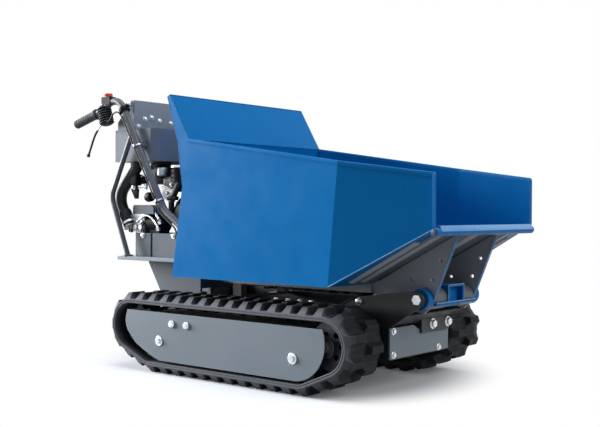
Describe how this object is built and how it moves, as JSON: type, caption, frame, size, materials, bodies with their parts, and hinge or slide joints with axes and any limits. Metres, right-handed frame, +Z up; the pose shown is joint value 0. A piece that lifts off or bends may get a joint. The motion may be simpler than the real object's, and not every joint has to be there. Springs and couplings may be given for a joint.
{
  "type": "tracked power carrier",
  "caption": "Walk-behind power carrier on rubber tracks, with a tipping skip and open chute in front, an engine deck, an oil tank and handlebars behind.",
  "frame": {"origin": "middle of the length and width, on the ground under the tracks", "axes": "+X forward to the skip's lip, +Y to the machine's left, +Z up"},
  "size_m": [1.6784, 0.775, 0.9957],
  "materials": {
    "skip_paint": "glossy blue powder coat",
    "grey_paint": "satin grey powder coat",
    "dark_paint": "satin black powder coat",
    "gusset_paint": "satin dark grey powder coat",
    "track_rubber": "matt black rubber",
    "hose_rubber": "smooth black rubber",
    "wheel_iron": "dark painted casting",
    "zinc_steel": "bright zinc plate",
    "ground_steel": "ground and polished",
    "cast_alloy": "bead blasted casting",
    "black_plastic": "fine grained",
    "red_plastic": "moulded"
  },
  "bodies": {
    "chassis": {"chassis_frame": "dark_paint", "front_plate": "grey_paint", "pivot_pins": "zinc_steel", "transaxle": "cast_alloy", "pedestal": "grey_paint", "deck_plate": "grey_paint", "track_frame_r": "dark_paint", "track_frame_l": "dark_paint", "track_belt_r": "track_rubber", "track_belt_l": "track_rubber", "side_cover_r": "grey_paint", "side_cover_l": "grey_paint", "track_bolts": "zinc_steel", "engine_riser": "grey_paint", "engine_block": "cast_alloy", "recoil_starter": "black_plastic", "muffler": "zinc_steel", "air_filter": "black_plastic", "drive_belt": "hose_rubber", "oil_tank": "grey_paint", "hydraulic_pump": "black_plastic", "hydraulic_valve": "cast_alloy", "pump_cover": "grey_paint", "suction_hose": "hose_rubber", "console": "grey_paint", "handlebar_r": "dark_paint", "handlebar_l": "dark_paint", "guard_tubes": "dark_paint", "grips": "hose_rubber", "lever_brackets": "black_plastic", "switch_box": "black_plastic", "control_cables": "hose_rubber"},
    "skip": {"skip_tub": "skip_paint", "lip_tube": "skip_paint", "gusset_r": "gusset_paint", "gusset_l": "gusset_paint", "hinge_tube": "skip_paint", "skip_subframe": "dark_paint"},
    "cylinder": {"lift_cylinder": "dark_paint"},
    "rod": {"lift_rod": "ground_steel"},
    "sprocket_r": {"sprocket_r": "wheel_iron"},
    "idler_r": {"idler_r": "wheel_iron"},
    "road_roller_r1": {"road_roller_r1": "wheel_iron"},
    "road_roller_r2": {"road_roller_r2": "wheel_iron"},
    "road_roller_r3": {"road_roller_r3": "wheel_iron"},
    "road_roller_r4": {"road_roller_r4": "wheel_iron"},
    "sprocket_l": {"sprocket_l": "wheel_iron"},
    "idler_l": {"idler_l": "wheel_iron"},
    "road_roller_l1": {"road_roller_l1": "wheel_iron"},
    "road_roller_l2": {"road_roller_l2": "wheel_iron"},
    "road_roller_l3": {"road_roller_l3": "wheel_iron"},
    "road_roller_l4": {"road_roller_l4": "wheel_iron"},
    "steering_lever_r": {"steering_lever_r": "dark_paint"},
    "steering_lever_l": {"steering_lever_l": "dark_paint"},
    "stop_button": {"stop_button": "red_plastic"},
    "gear_lever": {"gear_lever": "black_plastic"},
    "tip_lever": {"tip_lever": "black_plastic"},
    "tank_cap": {"tank_cap": "black_plastic"},
    "engine_pulley": {"engine_pulley": "dark_paint"},
    "gearbox_pulley": {"gearbox_pulley": "dark_paint"}
  },
  "joints": [
    {"name": "skip_tip", "type": "hinge", "parent": "chassis", "child": "skip", "pos_m": [0.68917, 0, 0.292], "axis": [0, 1, 0], "range_deg": [0, 55]},
    {"name": "cylinder_swing", "type": "hinge", "parent": "chassis", "child": "cylinder", "pos_m": [0.12917, 0, 0.14], "axis": [0, 1, 0], "range_deg": [-16, 4]},
    {"name": "rod_slide", "type": "slide", "parent": "cylinder", "child": "rod", "axis": [0.9048, 0, 0.4258], "range_m": [0, 0.2]},
    {"name": "sprocket_r_spin", "type": "hinge", "parent": "chassis", "child": "sprocket_r", "pos_m": [-0.35783, -0.2885, 0.155], "axis": [0, 1, 0], "continuous": true},
    {"name": "idler_r_spin", "type": "hinge", "parent": "chassis", "child": "idler_r", "pos_m": [0.49617, -0.2885, 0.155], "axis": [0, 1, 0], "continuous": true},
    {"name": "roller_r1_spin", "type": "hinge", "parent": "chassis", "child": "road_roller_r1", "pos_m": [-0.26083, -0.2885, 0.077], "axis": [0, 1, 0], "continuous": true},
    {"name": "roller_r2_spin", "type": "hinge", "parent": "chassis", "child": "road_roller_r2", "pos_m": [-0.03883, -0.2885, 0.077], "axis": [0, 1, 0], "continuous": true},
    {"name": "roller_r3_spin", "type": "hinge", "parent": "chassis", "child": "road_roller_r3", "pos_m": [0.18317, -0.2885, 0.077], "axis": [0, 1, 0], "continuous": true},
    {"name": "roller_r4_spin", "type": "hinge", "parent": "chassis", "child": "road_roller_r4", "pos_m": [0.40517, -0.2885, 0.077], "axis": [0, 1, 0], "continuous": true},
    {"name": "sprocket_l_spin", "type": "hinge", "parent": "chassis", "child": "sprocket_l", "pos_m": [-0.35783, 0.2885, 0.155], "axis": [0, 1, 0], "continuous": true},
    {"name": "idler_l_spin", "type": "hinge", "parent": "chassis", "child": "idler_l", "pos_m": [0.49617, 0.2885, 0.155], "axis": [0, 1, 0], "continuous": true},
    {"name": "roller_l1_spin", "type": "hinge", "parent": "chassis", "child": "road_roller_l1", "pos_m": [-0.26083, 0.2885, 0.077], "axis": [0, 1, 0], "continuous": true},
    {"name": "roller_l2_spin", "type": "hinge", "parent": "chassis", "child": "road_roller_l2", "pos_m": [-0.03883, 0.2885, 0.077], "axis": [0, 1, 0], "continuous": true},
    {"name": "roller_l3_spin", "type": "hinge", "parent": "chassis", "child": "road_roller_l3", "pos_m": [0.18317, 0.2885, 0.077], "axis": [0, 1, 0], "continuous": true},
    {"name": "roller_l4_spin", "type": "hinge", "parent": "chassis", "child": "road_roller_l4", "pos_m": [0.40517, 0.2885, 0.077], "axis": [0, 1, 0], "continuous": true},
    {"name": "steering_lever_r_pull", "type": "hinge", "parent": "chassis", "child": "steering_lever_r", "pos_m": [-0.67883, -0.24, 0.89], "axis": [0, 1, 0], "range_deg": [0, 30], "stiffness_Nm_per_rad": 1.2, "springref_deg": -14.32},
    {"name": "steering_lever_l_pull", "type": "hinge", "parent": "chassis", "child": "steering_lever_l", "pos_m": [-0.67883, 0.24, 0.89], "axis": [0, 1, 0], "range_deg": [0, 30], "stiffness_Nm_per_rad": 1.2, "springref_deg": -14.32},
    {"name": "stop_button_press", "type": "slide", "parent": "chassis", "child": "stop_button", "axis": [0, 0, -1], "range_m": [0, 0.003], "stiffness_N_per_m": 700, "springref_m": -0.002},
    {"name": "gear_lever_throw", "type": "hinge", "parent": "chassis", "child": "gear_lever", "pos_m": [-0.57083, -0.07, 0.882], "axis": [0, 1, 0], "range_deg": [-20, 20]},
    {"name": "tip_lever_throw", "type": "hinge", "parent": "chassis", "child": "tip_lever", "pos_m": [-0.57083, 0.07, 0.882], "axis": [0, 1, 0], "range_deg": [-20, 20], "stiffness_Nm_per_rad": 0.6},
    {"name": "tank_cap_turn", "type": "hinge", "parent": "chassis", "child": "tank_cap", "pos_m": [-0.46083, 0.12, 0.856], "axis": [0, 0, 1], "range_deg": [0, 90]},
    {"name": "gearbox_pulley_spin", "type": "hinge", "parent": "chassis", "child": "gearbox_pulley", "pos_m": [-0.35783, 0.136, 0.247], "axis": [0, 1, 0], "continuous": true},
    {"name": "engine_pulley_spin", "type": "hinge", "parent": "chassis", "child": "engine_pulley", "pos_m": [-0.31583, 0.136, 0.542], "axis": [0, 1, 0], "continuous": true}
  ],
  "couplings": [
    {"joint": "cylinder_swing", "follows": "skip_tip", "ratio": -0.22197},
    {"joint": "rod_slide", "follows": "skip_tip", "m_per_rad": 0.18609},
    {"joint": "idler_r_spin", "follows": "sprocket_r_spin", "ratio": 1},
    {"joint": "roller_r1_spin", "follows": "sprocket_r_spin", "ratio": 1.9},
    {"joint": "roller_r2_spin", "follows": "sprocket_r_spin", "ratio": 1.9},
    {"joint": "roller_r3_spin", "follows": "sprocket_r_spin", "ratio": 1.9},
    {"joint": "roller_r4_spin", "follows": "sprocket_r_spin", "ratio": 1.9},
    {"joint": "idler_l_spin", "follows": "sprocket_l_spin", "ratio": 1},
    {"joint": "roller_l1_spin", "follows": "sprocket_l_spin", "ratio": 1.9},
    {"joint": "roller_l2_spin", "follows": "sprocket_l_spin", "ratio": 1.9},
    {"joint": "roller_l3_spin", "follows": "sprocket_l_spin", "ratio": 1.9},
    {"joint": "roller_l4_spin", "follows": "sprocket_l_spin", "ratio": 1.9},
    {"joint": "engine_pulley_spin", "follows": "gearbox_pulley_spin", "ratio": 1.6111}
  ]
}
